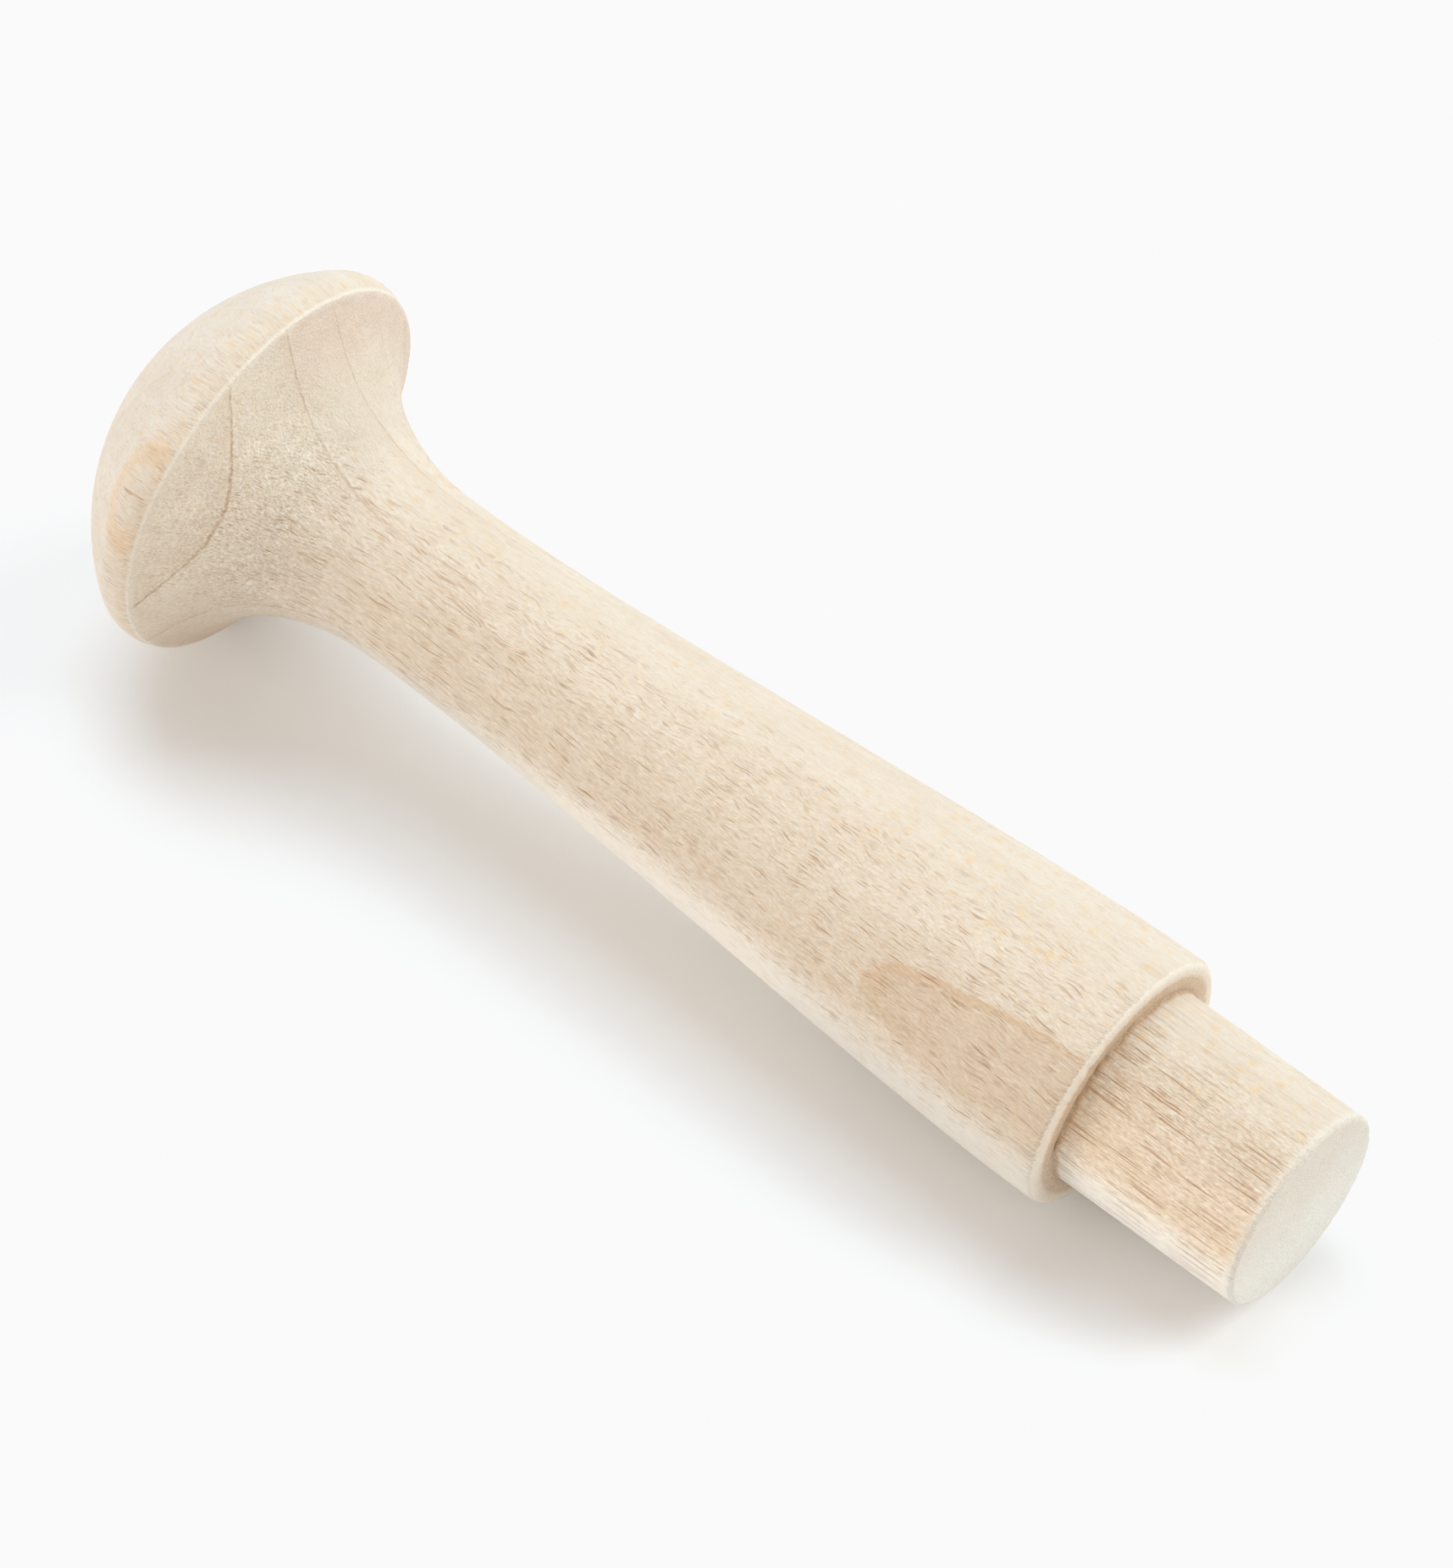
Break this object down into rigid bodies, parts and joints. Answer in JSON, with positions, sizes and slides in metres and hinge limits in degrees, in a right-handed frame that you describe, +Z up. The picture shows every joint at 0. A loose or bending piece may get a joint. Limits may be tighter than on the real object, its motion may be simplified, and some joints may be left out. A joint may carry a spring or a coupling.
{
  "type": "shaker peg",
  "caption": "Turned wooden Shaker peg with a domed mushroom head, a waisted swelling shank, a square shoulder and a round tenon.",
  "frame": {"origin": "centre of the footprint of the part's box, on the floor the peg lies on", "axes": "+X runs level from the head to the tenon, +Z is up; the turning axis dips 3.945 degrees below +X because the wide head holds one end up"},
  "size_m": [0.086, 0.0254, 0.0253],
  "materials": {
    "peg_wood": "unfinished fine-sanded pale maple or birch, matt, with growth-ring lines and small dark flecks"
  },
  "bodies": {
    "root": {"shaker_peg": "peg_wood"}
  },
  "joints": []
}
